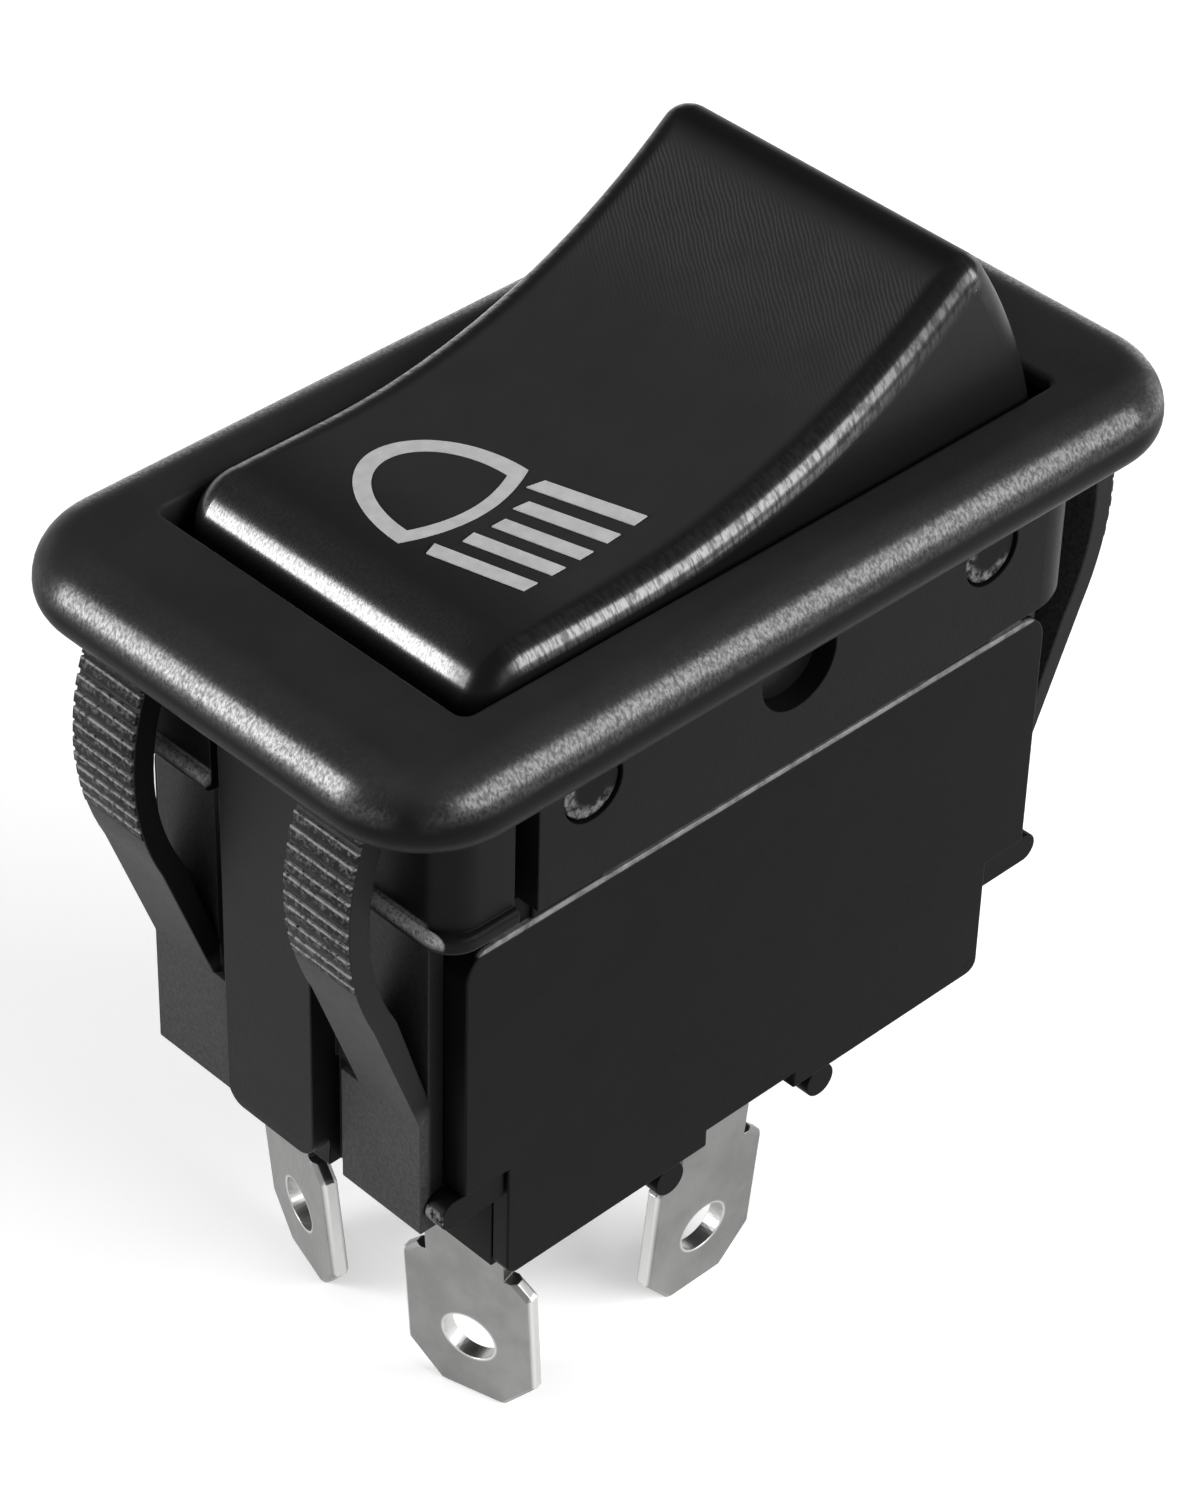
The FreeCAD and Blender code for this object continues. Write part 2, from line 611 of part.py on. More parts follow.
def load_terminal(label, side):
    """Blade of the switched side; its head turns inwards and carries the fixed contact."""
    body = new_body(label)
    half = "blade_strip / 2"
    head = "(valley_level + seesaw_strip + contact_gap + 2 * contact_head)"
    side_view = leaning_blade("-" + half, half)
    side_view += [(half, "-%s - blade_strip" % head), ("load_head_reach", "-%s - blade_strip" % head),
                  ("load_head_reach", "-" + head), ("-" + half, "-" + head), ("-" + half, "-blade_bend_level")]
    pad(body, sketch_on(body, label + "_side", "YZ", [side_view]), "blade_width", both=True)
    blade_cuts(body, label, "-" + head + " + 1")
    turned(body, x="-" + LOAD_X, y="%d * load_y" % side, angle="-90 - %d * load_turn" % side, axis=(0, 0, 1))
    return body


def eye_in_load_terminal(body, label, side):
    """Punch the eye for the fixed contact where the contact stands."""
    turn = "(-90 - %d * load_turn)" % side
    along = "contact_back"
    across = "(%d * (pole_spacing / 2 + contact_aside - load_y))" % side
    u = "%s * cos(%s) + %s * sin(%s)" % (along, turn, across, turn)
    n = "-%s * sin(%s) + %s * cos(%s)" % (along, turn, across, turn)
    eye = [(u, n, "contact_shank + contact_eye_play")]
    pocket(body, sketch_on(body, label + "_eye", "XY", circles=eye, lift="-9"), "4")


def common_terminal(label, side):
    """Middle blade; it steps inwards under the pole and ends in the post that the seesaw tips on."""
    body = new_body(label)
    half = "blade_strip / 2"
    inward = "(common_y - pole_spacing / 2)"
    side_view = leaning_blade("-" + half, half)
    side_view += [(half, "-common_shelf - blade_strip"),
                  ("%s + %s" % (inward, half), "-common_shelf - blade_strip"),
                  ("%s + %s" % (inward, half), "-valley_level - seesaw_strip - contact_gap"),
                  ("%s - %s" % (inward, half), "-valley_level - seesaw_strip - contact_gap"),
                  ("%s - %s" % (inward, half), "-common_shelf"), ("-" + half, "-common_shelf"),
                  ("-" + half, "-blade_bend_level")]
    pad(body, sketch_on(body, label + "_side", "YZ", [side_view]), "blade_width", both=True)
    blade_cuts(body, label, "0")
    turned(body, x="-common_x", y="%d * common_y" % side, angle="0" if side < 0 else "180", axis=(0, 0, 1))
    return body


def switch_case():
    """Open-topped case: long walls with flaps that clasp the base, tongues and studs that hold the skirt."""
    body = new_body("switch_case")
    notch, deep = "flap_notch_half", "(flap_bottom - flap_notch)"
    flank, flap = CASE_END, FLAP_END
    wall = [
        ("-%s + case_corner" % flank, "-case_top", "-case_corner"), ("%s - case_corner" % flank, "-case_top"),
        (flank, "-case_top - case_corner", "-case_corner"), (flank, "-case_shoulder"), (flap, "-case_shoulder"),
        (flap, "-flap_bottom + flap_corner"), (flap + " - flap_corner", "-flap_bottom", "-flap_corner"),
        (notch, "-flap_bottom"), (notch, "-" + deep), ("-" + notch, "-" + deep), ("-" + notch, "-flap_bottom"),
        ("-%s + flap_corner" % flap, "-flap_bottom"),
        ("-" + flap, "-flap_bottom + flap_corner", "-flap_corner"), ("-" + flap, "-case_shoulder"),
        ("-" + flank, "-case_shoulder"), ("-" + flank, "-case_top - case_corner"),
    ]
    pad(body, sketch_on(body, "case_side", "XZ", [wall]), "case_width", both=True)
    inside = rectangle("-case_length / 2 + case_end_wall", "case_length / 2 - case_end_wall",
                       "-case_width / 2 + case_wall", "case_width / 2 - case_wall")
    pocket(body, sketch_on(body, "case_inside", "XY", [inside], lift="-case_top"), "flap_bottom")
    tongues, studs = [], []
    for end in (-1, 1):
        middle = "%d * stud_spacing / 2" % end
        studs.append((middle, "-stud_drop", "stud_radius"))
        for side in (-1, 1):
            edges = ("%d * case_width / 2" % side, "%d * (case_width / 2 - tongue_thickness)" % side)
            edges = sorted(edges, key=value)
            low, high = "%s - tongue_width / 2" % middle, "%s + tongue_width / 2" % middle
            tongues.append(rectangle(low, high, *edges))
    pad(body, sketch_on(body, "tongues", "XY", tongues, lift="-case_top - 1"), "case_top + 1 - tongue_top")
    for side, name in ((1, "studs_front"), (-1, "studs_rear")):
        lift = "%d * (case_width / 2 - tongue_thickness / 2)" % side
        pad(body, sketch_on(body, name, "XZ", circles=studs, lift=lift),
            "skirt_width / 2 - stud_inset - case_width / 2 + tongue_thickness / 2", back=side < 0)
    collar_edges = (("collar_inner", "collar_inner + collar_thickness"),
                    ("-collar_inner - collar_thickness", "-collar_inner"))
    collar = [rectangle("-%s + case_corner" % CASE_END, CASE_END + " - case_corner", *edges)
              for edges in collar_edges]
    pad(body, sketch_on(body, "collar", "XY", collar, lift="-case_top - 0.5"), "case_top + 0.5 - collar_top")
    half_key = "(key_width / 2 + key_play)"
    keyhole = rectangle("-%s - 1" % CASE_END, CASE_END + " + 1", "-" + half_key, half_key)
    pocket(body, sketch_on(body, "keyholes", "XY", [keyhole], lift="-key_top + key_play"),
           "key_bottom - key_top + 2 * key_play")
    return body


def terminal_base():
    """Base between the flaps: it holds the blades, the barrier and the stops, and hangs on round pegs."""
    body = new_body("terminal_base")
    wide = "(case_width / 2 - case_wall - base_play)"
    block = rectangle("-" + FLAP_END, FLAP_END, "-" + wide, wide)
    pad(body, sketch_on(body, "base_block", "XY", [block], lift="-base_bottom"), "base_bottom - base_top - 1")
    long_half = "(case_length / 2 - case_end_wall - base_play)"
    flange = rectangle("-" + long_half, long_half, "-" + wide, wide)
    pad(body, sketch_on(body, "base_flange", "XY", [flange], lift="-base_top - 1.5"), "1.5")
    barrier_end = "(%s - barrier_in)" % CASE_END
    wall = rectangle("-" + barrier_end, barrier_end, "-barrier_thickness / 2", "barrier_thickness / 2")
    pad(body, sketch_on(body, "barrier", "XY", [wall], lift="-base_top - 0.5"), "base_top + 0.5 - barrier_top")
    posts = []
    for side in (-1, 1):
        middle = "%d * pole_spacing / 2" % side
        posts.append(rectangle(POST_X + " - post_length / 2", POST_X + " + post_length / 2",
                               "%s - post_width / 2" % middle, "%s + post_width / 2" % middle))
    pad(body, sketch_on(body, "stop_posts", "XY", posts, lift="-base_top - 0.5"),
        "base_top + 0.5 - valley_level - seesaw_strip - contact_gap")
    # Round pegs carried by short webs at the bottom and by lugs at the shoulders
    pegs = [("%d * peg_inner_x" % end, "-peg_inner_drop", "peg_radius") for end in (-1, 1)]
    lug_round = ("-(lug_high + lug_low) / 2", "(lug_low - lug_high) / 2")
    pegs += [("%d * %s" % (end, PEG_OUTER_X),) + lug_round for end in (-1, 1)]
    webs = [rectangle("%d * peg_inner_x - peg_radius" % end, "%d * peg_inner_x + peg_radius" % end,
                      "-peg_inner_drop", "-base_bottom + 0.3") for end in (-1, 1)]
    beside_flap, end_wall = FLAP_END + " + base_play", CASE_END + " - base_play"
    lugs = [rectangle(beside_flap, PEG_OUTER_X, "-lug_low", "-lug_high"),
            rectangle("-" + PEG_OUTER_X, "-(%s)" % beside_flap, "-lug_low", "-lug_high")]
    roots = [rectangle(beside_flap, end_wall, "-lug_low", "-lug_high"),
             rectangle("-(%s)" % end_wall, "-(%s)" % beside_flap, "-lug_low", "-lug_high")]
    tip = "case_width / 2 - peg_inset"
    for side, name in ((1, "front"), (-1, "rear")):
        shank = "%d * (%s - peg_shank)" % (side, wide)
        pad(body, sketch_on(body, "webs_" + name, "XZ", webs, lift=shank), "peg_shank", back=side < 0)
        pad(body, sketch_on(body, "pegs_" + name, "XZ", circles=pegs[:2], lift=shank),
            "%s - %s + peg_shank" % (tip, wide), back=side < 0)
    pad(body, sketch_on(body, "lug_roots", "XZ", roots, lift="%s - peg_shank" % wide), "peg_shank")
    lug_inner = "clip_width / 2 + base_play"
    lug_long = "%s - (%s)" % (tip, lug_inner)
    pad(body, sketch_on(body, "lugs", "XZ", lugs, lift=lug_inner), lug_long)
    pad(body, sketch_on(body, "lug_ends", "XZ", circles=pegs[2:], lift=lug_inner), lug_long)
    return body


def terminal_slots(body):
    """Slots through the base for the necks of the four blades."""
    room = "base_slot_play"
    neck, thick = "(blade_neck / 2 + %s)" % room, "(blade_strip / 2 + %s)" % room
    loops = []
    for side in (-1, 1):
        loops.append(rectangle("-common_x - " + neck, "-common_x + " + neck,
                               "%d * common_y - %s" % (side, thick), "%d * common_y + %s" % (side, thick)))
        turn = "(-90 - %d * load_turn)" % side
        loop = []
        for a, b in ((-1, -1), (1, -1), (1, 1), (-1, 1)):
            u, n = "%d * %s" % (a, neck), "%d * %s" % (b, thick)
            loop.append(("-%s + %s * cos(%s) - (%s) * sin(%s)" % (LOAD_X, u, turn, n, turn),
                         "%d * load_y + %s * sin(%s) + (%s) * cos(%s)" % (side, u, turn, n, turn)))
        loops.append(loop)
    pocket(body, sketch_on(body, "blade_slots", "XY", loops, lift="-base_top + 0.01"),
           "base_bottom - base_top + 1")


def end_clip(label, end):
    """End clip: block with a centre rib and two bowed snap arms that press on the panel's edge."""
    body = new_body(label)
    back = "(%s + clip_gap)" % CASE_END
    block = rectangle("-" + CLIP_FACE, "-" + back, "-clip_block_bottom", "-clip_block_top")
    pad(body, sketch_on(body, label + "_block", "XZ", [block]), "clip_width", both=True)
    wall = rectangle("-" + CLIP_BACK, "-" + back, "-clip_block_top - 1", "-clip_top")
    pad(body, sketch_on(body, label + "_wall", "XZ", [wall]), "clip_width", both=True)
    spread = " + arm_far_spread)" if end > 0 else ")"
    bow, tip = "(%s + arm_bow_out%s" % (CASE_END, spread), "(%s + arm_tip_out%s" % (CASE_END, spread)
    arm = [("-" + CLIP_FACE, "-clip_block_top"), ("-" + bow, "-arm_bow_level"),
           ("-" + tip, "-arm_tip_level", "-arm_bow_radius"),
           ("-%s + arm_thickness" % tip, "-arm_tip_level - 0.1"),
           ("-%s + arm_thickness" % bow, "-arm_bow_level - 0.1", "arm_bow_radius - arm_thickness"),
           ("-%s + arm_thickness * 0.8" % CLIP_FACE, "-clip_block_top - 0.3"),
           ("-" + CLIP_FACE, "-clip_block_top - 0.3")]
    pad(body, sketch_on(body, label + "_arms", "XZ", [arm]), "clip_width", both=True)
    arm_inner = "(clip_width / 2 - arm_width)"
    gap = rectangle("-%s - 3" % tip, "-" + CLIP_BACK, "-" + arm_inner, arm_inner)
    pocket(body, sketch_on(body, label + "_gap", "XY", [gap], lift="-clip_block_top"), "clip_block_top",
           back=True)
    groove_floor = "-%s - clip_groove_out" % CASE_END
    beside = "(clip_rib_width / 2 + clip_groove_width)"
    grooves = [rectangle("-%s - 1" % CLIP_FACE, groove_floor, "clip_rib_width / 2", beside),
               rectangle("-%s - 1" % CLIP_FACE, groove_floor, "-" + beside, "-clip_rib_width / 2")]
    pocket(body, sketch_on(body, label + "_grooves", "XY", grooves, lift="-clip_block_top"),
           "clip_block_bottom - clip_block_top + 1")
    rib = [("-" + RIB_FACE, "-clip_rib_bottom"), ("-" + back, "-clip_rib_bottom"), ("-" + back, "-clip_top"),
           ("-" + CLIP_BACK, "-clip_top"), ("-" + CLIP_BACK, "-0.1"), ("-" + RIB_FACE, "-0.1")]
    pad(body, sketch_on(body, label + "_rib", "XZ", [rib]), "clip_rib_width", both=True)
    fillet(body, label + "_rib_corners", "clip_rib_corner", lambda b: near(b.ZMax, "-clip_rib_bottom")
           and near(b.YMin, b.YMax) and near(b.XMin, "-" + RIB_FACE))
    key = rectangle("-" + back, "-%s + key_depth" % back, "-key_width / 2", "key_width / 2")
    pad(body, sketch_on(body, label + "_key", "XY", [key], lift="-key_bottom"), "key_bottom - key_top")
    turned(body, angle="0" if end < 0 else "180", axis=(0, 0, 1))
    return body


pieces = [bezel_frame(), rocker_button(), switch_case(), terminal_base(), end_clip("end_clip_near", -1),
          end_clip("end_clip_far", 1)]
terminal_slots(pieces[3])
for place, side in (("front", -1), ("rear", 1)):
    pieces.append(plunger("plunger_" + place, side))
    pieces.append(plunger_spring("plunger_spring_" + place, side))
    pieces.append(seesaw_contact("seesaw_contact_" + place, side))
    pieces.append(moving_contact("moving_contact_" + place, side))
    pieces.append(fixed_contact("fixed_contact_" + place, side))
    blade = load_terminal("load_terminal_" + place, side)
    eye_in_load_terminal(blade, "load_terminal_" + place, side)
    pieces.append(blade)
    pieces.append(common_terminal("common_terminal_" + place, side))

doc.recompute()
for thing in doc.Objects:
    if "Invalid" in thing.State or "Error" in thing.State:
        raise RuntimeError("%s failed: %s" % (thing.Label, thing.State))
for piece in pieces:
    if piece.Shape.isNull() or not piece.Shape.isValid() or len(piece.Shape.Solids) != 1:
        raise RuntimeError("%s isn't one valid solid" % piece.Label)

os.makedirs("parts", exist_ok=True)
for piece in pieces:
    piece.Shape.exportStep("parts/%s.step" % piece.Label)
    print("%-26s %9.2f mm3" % (piece.Label, piece.Shape.Volume))
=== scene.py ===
"""Panel rocker switch in black moulded plastic, standing on its four tabs in a pale studio."""
import math
import random

import bmesh
import bpy
from mathutils import Matrix, Vector


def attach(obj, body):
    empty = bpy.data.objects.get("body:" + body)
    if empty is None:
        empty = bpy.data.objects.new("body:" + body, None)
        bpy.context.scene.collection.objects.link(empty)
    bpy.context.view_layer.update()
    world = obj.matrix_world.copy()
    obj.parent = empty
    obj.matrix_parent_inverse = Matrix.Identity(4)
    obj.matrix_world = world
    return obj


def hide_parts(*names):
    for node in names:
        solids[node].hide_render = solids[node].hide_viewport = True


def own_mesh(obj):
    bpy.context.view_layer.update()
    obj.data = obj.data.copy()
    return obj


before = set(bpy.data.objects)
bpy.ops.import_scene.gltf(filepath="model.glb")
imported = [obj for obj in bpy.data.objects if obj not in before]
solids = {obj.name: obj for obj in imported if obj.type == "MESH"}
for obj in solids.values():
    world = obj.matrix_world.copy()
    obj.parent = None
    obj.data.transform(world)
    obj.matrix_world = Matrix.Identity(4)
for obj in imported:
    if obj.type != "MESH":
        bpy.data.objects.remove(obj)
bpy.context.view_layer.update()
MM = 0.001

# BEZEL AND SKIRT
# One black moulding: a flange with a rolled rim lies on the panel, and its skirt goes through
# the cut-out. The mould is finely spark-eroded, so the satin rim breaks up the light.
WELD, FLAT_ANGLE, SHARP_ANGLE = 0.0015, math.radians(0.6), math.radians(32)
# Pairs are where a mask starts and where it is full, in millimetres
END_ROLL, END_BAND, SIDE_ROLL, SIDE_BAND = (19.4, 20.4), (1.4, 2.2), (10.1, 11.0), (1.6, 2.3)
CORNER_X, CORNER_Y, CORNER_DEPTH = (19.6, 20.6), (9.6, 10.6), (3.15, 2.6)
FAR_CORNER_X, FAR_CORNER_Y, ROLL_SHADE_Z = (-17.4, -18.8), (7.4, 9.4), (1.8, 3.2)
LEDGE_X, LEDGE_TOP, LEDGE_FOOT = (18.3, 18.4), (-5.0, -5.15), (-5.9, -5.5)


class Shade:
    """One output in a material; arithmetic on it adds the Math nodes."""

    def __init__(self, finish, socket):
        self.finish, self.socket = finish, socket

    def math(self, operation, *others):
        """This output, taken with the others by one Math node."""
        return self.finish.node("ShaderNodeMath", dict(operation=operation),
                                dict(enumerate((self, *others))))

    def __add__(self, other): return self.math("ADD", other)
    def __radd__(self, other): return self.math("ADD", other)
    def __sub__(self, other): return self.math("SUBTRACT", other)
    def __rsub__(self, other): return self.math("MULTIPLY_ADD", -1.0, other)
    def __mul__(self, other): return self.math("MULTIPLY", other)
    def __abs__(self): return self.math("ABSOLUTE")

    def over(self, low, high):
        """0 below low and 1 above high, smoothly between."""
        return self.finish.node("ShaderNodeMapRange", dict(interpolation_type="SMOOTHSTEP"),
                                {"Value": self, "From Min": low, "From Max": high})


class Finish:
    """A material, its nodes and its one plastic or metal shader."""

    def __init__(self, name, **fixed):
        self.material = bpy.data.materials.new(name)
        self.material.use_nodes = True
        self.tree = self.material.node_tree
        self.tree.nodes.clear()
        end = self.tree.nodes.new("ShaderNodeOutputMaterial")
        self.shader = self.tree.nodes.new("ShaderNodeBsdfPrincipled")
        self.tree.links.new(self.shader.outputs[0], end.inputs["Surface"])
        for key, number in fixed.items():
            self.shader.inputs[key.replace("_", " ")].default_value = number
        place = self.node("ShaderNodeTexCoord", {}, {}, "Object")
        self.place = self.node("ShaderNodeVectorMath", dict(operation="SCALE"),
                               {"Vector": place, "Scale": 1 / MM}, "Vector")
        split = self.node("ShaderNodeSeparateXYZ", {}, {"Vector": self.place}, "X")
        self.x = split
        self.y, self.z = (Shade(self, split.socket.node.outputs[axis]) for axis in "YZ")

    def node(self, kind, settings, sockets, out=0):
        """Any node: its settings go first, then the numbers or links of its sockets."""
        made = self.tree.nodes.new(kind)
        for key, item in settings.items():
            setattr(made, key, item)
        for key, item in sockets.items():
            if isinstance(item, Shade):
                self.tree.links.new(item.socket, made.inputs[key])
            else:
                made.inputs[key].default_value = item
        return Shade(self, made.outputs[out])

    def noise(self, scale, detail=2.0, rough=0.5, place=None):
        """Noise with that many features to a millimetre."""
        return self.node("ShaderNodeTexNoise", {}, {"Vector": place or self.place, "Scale": scale,
                                                    "Detail": detail, "Roughness": rough})

    def stretched(self, *scale):
        """Place, stretched along the axes with a small scale."""
        return self.node("ShaderNodeMapping", {}, {"Vector": self.place, "Scale": scale})

    def mix(self, amount, low, high):
        """Colour between low and high."""
        return self.node("ShaderNodeMix", dict(data_type="RGBA"), {0: amount, 6: low, 7: high}, 2)

    def relief(self, height, depth, strength=1.0, under=None):
        """Bump of that depth in millimetres; under is a coarser bump below it."""
        sockets = {"Height": height, "Distance": depth * MM, "Strength": strength}
        if under:
            sockets["Normal"] = under
        return self.node("ShaderNodeBump", {}, sockets)

    def set(self, **links):
        """Links the shader's sockets by name and gives back the material."""
        for key, item in links.items():
            self.tree.links.new(item.socket, self.shader.inputs[key.replace("_", " ")])
        return self.material


class Moulding(Finish):
    """Moulded plastic: fine grain, faint flow marks and a few dust specks."""

    def __init__(self, name, dark, pale, rough, gloss, grain, depth, **coat):
        super().__init__(name, Specular_IOR_Level=gloss, **coat)
        self.dark, self.pale, self.rough, self.depth = (*dark, 1), (*pale, 1), rough, depth
        self.cloud = self.noise(0.35, 3.0, 0.6)
        self.fine = self.noise(grain, 3.0, 0.65)
        self.speck = self.noise(3.2, 1.0, 0.4).over(0.76, 0.79)

    def colour(self, tone=None):
        """From dark at tone 0 to pale at 1; the plastic's own tone is cloud and grain."""
        return self.mix(tone or self.cloud.over(0.3, 0.7) * 0.7 + self.fine * 0.3, self.dark, self.pale)

    def done(self, colour, polish=None, height=None, wave=0.02, specks=0.1):
        """Joins up the plastic; polish is how far each place is burnished, 0 to 1."""
        if polish:
            self.set(Coat_Weight=polish)
        roughness = self.rough + (self.fine - 0.5) * 0.16 + (self.cloud - 0.5) * 0.08
        under = self.relief(self.cloud, wave, 0.5)
        return self.set(Base_Color=colour, Roughness=roughness + self.speck * specks,
                        Normal=self.relief(height or self.fine, self.depth, 1.0, under))


def placed(name, data):
    """A new object at the origin, in the scene."""
    piece = bpy.data.objects.new(name, data)
    bpy.context.scene.collection.objects.link(piece)
    return piece


def built(name, form):
    """The finished form as a new object."""
    mesh = bpy.data.meshes.new(name)
    form.to_mesh(mesh)
    form.free()
    return placed(name, mesh)


def dressed(node, name, edge):
    """The node's own form as clean faces, with its sharp edges broken by a small round."""
    form = bmesh.new()
    form.from_mesh(solids[node].data)
    bmesh.ops.remove_doubles(form, verts=form.verts, dist=WELD * MM)
    bmesh.ops.dissolve_limit(form, angle_limit=FLAT_ANGLE, verts=form.verts, edges=form.edges)
    piece = built(name, form)
    piece.data.shade_smooth()
    piece.data.set_sharp_from_angle(angle=SHARP_ANGLE)
    rim = piece.modifiers.new("broken_edges", "BEVEL")
    rim.width = edge * MM
    rim.segments = 2
    rim.limit_method = "ANGLE"
    rim.angle_limit = SHARP_ANGLE
    rim.use_clamp_overlap = False
    rim.harden_normals = True
    return piece


def seat(piece, body, slot, material, *stands_for):
    """Gives a piece its material and its body, and hides the nodes that it stands for; slot is not used."""
    piece.data.materials.clear()
    piece.data.materials.append(material)
    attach(piece, body)
    if stands_for:
        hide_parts(*stands_for)


def carried(node, material):
    """A node whose own mesh is right keeps it and gets its material."""
    solids[node].data.materials.clear()
    solids[node].data.materials.append(material)


rim = Moulding("bezel_black", (0.016, 0.016, 0.0163), (0.020, 0.020, 0.0204), rough=0.40, gloss=0.05,
               grain=5.5, depth=0.010, Coat_Roughness=0.26, Coat_IOR=1.6)
length_way, width_way = abs(rim.x), abs(rim.y)
short_side, long_side = length_way.over(*END_ROLL), width_way.over(*SIDE_ROLL)
pores = (rim.noise(8.5, 3.0, 0.6, rim.stretched(0.6, 1.0, 0.6)) * short_side
         + rim.noise(8.5, 3.0, 0.6, rim.stretched(1.0, 0.6, 0.6)) * (1 - short_side)).over(0.3, 0.7)
rolled = (rim.z.over(*END_BAND) * short_side).math("MAXIMUM", rim.z.over(*SIDE_BAND) * long_side)
corner = length_way.over(*CORNER_X) * width_way.over(*CORNER_Y) * rim.z.over(*CORNER_DEPTH)
far_corner = rim.y.over(*FAR_CORNER_Y) * rim.x.over(*FAR_CORNER_X)
rolled = rolled * (1 - corner) * (1 - far_corner * 0.8)
# Painted highlight: the top of the ledge at the foot of each skirt end is coloured light grey, in grainy
# patches.
ledge_highlight = length_way.over(*LEDGE_X) * rim.z.over(*LEDGE_TOP) * rim.z.over(*LEDGE_FOOT)
# Painted shade: below the flange's flat top, the rolled rim and the skirt are coloured near black.
colour = rim.mix(rim.z.over(*ROLL_SHADE_Z), (0.005, 0.005, 0.0052, 1), rim.colour())
colour = rim.mix(ledge_highlight * rim.noise(7.0, 3.0, 0.7).over(0.2, 0.6), colour, (0.30, 0.30, 0.303, 1))
bezel_black = rim.done(colour, rolled * (0.3 + pores * 0.85))
seat(dressed("bezel_frame", "bezel", 0.05), "housing", "bezel_black", bezel_black, "bezel_frame")

# ROCKER
# A hollow black moulding with a dished top that swings on two trunnions. Its upper slope has
# fine flow wrinkles, short wavy lines that fade out below the middle.
ROCKER_TILT, PIVOT_DROP, WRINKLE_TURN = math.radians(13.5), 1.68, math.radians(-33)
DISH_RADIUS, DISH_X, DISH_FLOOR, FLAT_START, FLAT_SLOPE = 29.502, 0.5, 6.85, 7.0, 0.2442
SIDE_ROUND, SIDE_DEPTH, SIDE_END = (7.2, 7.7), (-1.5, -0.8), (-11.9, -11.0)
LIP_START, LIP_HEIGHT, LIP_FRONT, LIP_REAR = (-10.6, -12.0), (6.4, 7.2), (-7.9, -5.4), (8.4, 7.6)
LOW_PART, CREST_SPOT, LOW_SHADE_X = (11.0, 1.0), (10.4, 11.4), (-6.0, -12.0)
SHADE_BAND_Y, SHADE_BAND_CREST, SHADE_BLACK = (6.9, 7.5), (12.0, 13.2), (0.006, 0.006, 0.0062, 1)
WRINKLED_X, WRINKLED_Y, WRINKLED_DEPTH, WRINKLED_CREST = (1.5, 7.5), (7.4, 7.0), (-0.5, -0.2), (12.6, 11.4)
rocker = Moulding("rocker_black", (0.020, 0.020, 0.0203), (0.023, 0.023, 0.0234), rough=0.32, gloss=0.10,
                  grain=6.5, depth=0.012, Coat_Roughness=0.21, Coat_IOR=1.8)
along = rocker.x * math.cos(WRINKLE_TURN) + rocker.y * math.sin(WRINKLE_TURN)
lifted = rocker.z + PIVOT_DROP
level_x = rocker.x * math.cos(ROCKER_TILT) + lifted * math.sin(ROCKER_TILT)
level = lifted * math.cos(ROCKER_TILT) - rocker.x * math.sin(ROCKER_TILT)
outward = abs(rocker.y)
dish_x = level_x - DISH_X
in_dish = dish_x.math("MAXIMUM", -FLAT_START)
dish = DISH_RADIUS - (DISH_RADIUS ** 2 - in_dish * in_dish).math("SQRT") + DISH_FLOOR
under_top = level - dish + (in_dish - dish_x) * -FLAT_SLOPE
edges = outward.over(*SIDE_ROUND) * under_top.over(*SIDE_DEPTH) * level_x.over(*SIDE_END)
lip = level_x.over(*LIP_START) * level.over(*LIP_HEIGHT)
lip = lip * rocker.y.over(*LIP_FRONT) * rocker.y.over(*LIP_REAR)
side_pores = rocker.noise(7.0, 2.0, 0.6, rocker.stretched(1.0, 0.25, 0.25)).over(0.34, 0.62)
lip_pores = rocker.noise(12.0, 2.0, 0.6, rocker.stretched(0.5, 1.0, 0.5)).over(0.36, 0.62)
sheen = 0.3 + rocker.x.over(*LOW_PART) * 0.7 + rocker.x.over(*CREST_SPOT) * 0.7
polish = edges * (0.3 + side_pores * 0.7) * sheen
polish = polish.math("MAXIMUM", lip * (0.5 + lip_pores * 0.5))
drift = rocker.noise(0.5, 2.0, 0.5)
flow = rocker.node("ShaderNodeCombineXYZ", {}, {"X": along, "Y": rocker.y * 0.5, "Z": 0.0})
wrinkles = rocker.node("ShaderNodeTexWave", dict(wave_type="BANDS", bands_direction="X"),
                       {"Vector": flow, "Scale": 2.0, "Distortion": 5.0, "Detail": 3.0,
                        "Detail Scale": 0.9})
patch = rocker.x.over(*WRINKLED_X) * drift.over(0.0, 0.5) * outward.over(*WRINKLED_Y)
patch = patch * under_top.over(*WRINKLED_DEPTH) * level_x.over(*WRINKLED_CREST)
height = rocker.fine * 0.5 + wrinkles * patch * 2.8
# Painted sheen: the wrinkle lines are also coloured lighter, standing in for the light their relief reflects.
colour = rocker.mix(wrinkles * patch * 0.7, rocker.colour(), (0.036, 0.036, 0.0365, 1))
# Painted shade: the top is coloured near black along its sides and its crest, and darker towards the low end
# before the lip.
painted_shade_band = outward.over(*SHADE_BAND_Y).math("MAXIMUM", level_x.over(*SHADE_BAND_CREST))
painted_shade_band = painted_shade_band.math("MAXIMUM", level_x.over(*LOW_SHADE_X) * 0.8)
rocker_black = rocker.done(rocker.mix(painted_shade_band, colour, SHADE_BLACK), polish, height, wave=0.008, specks=0.0)
carried("rocker_button", rocker_black)

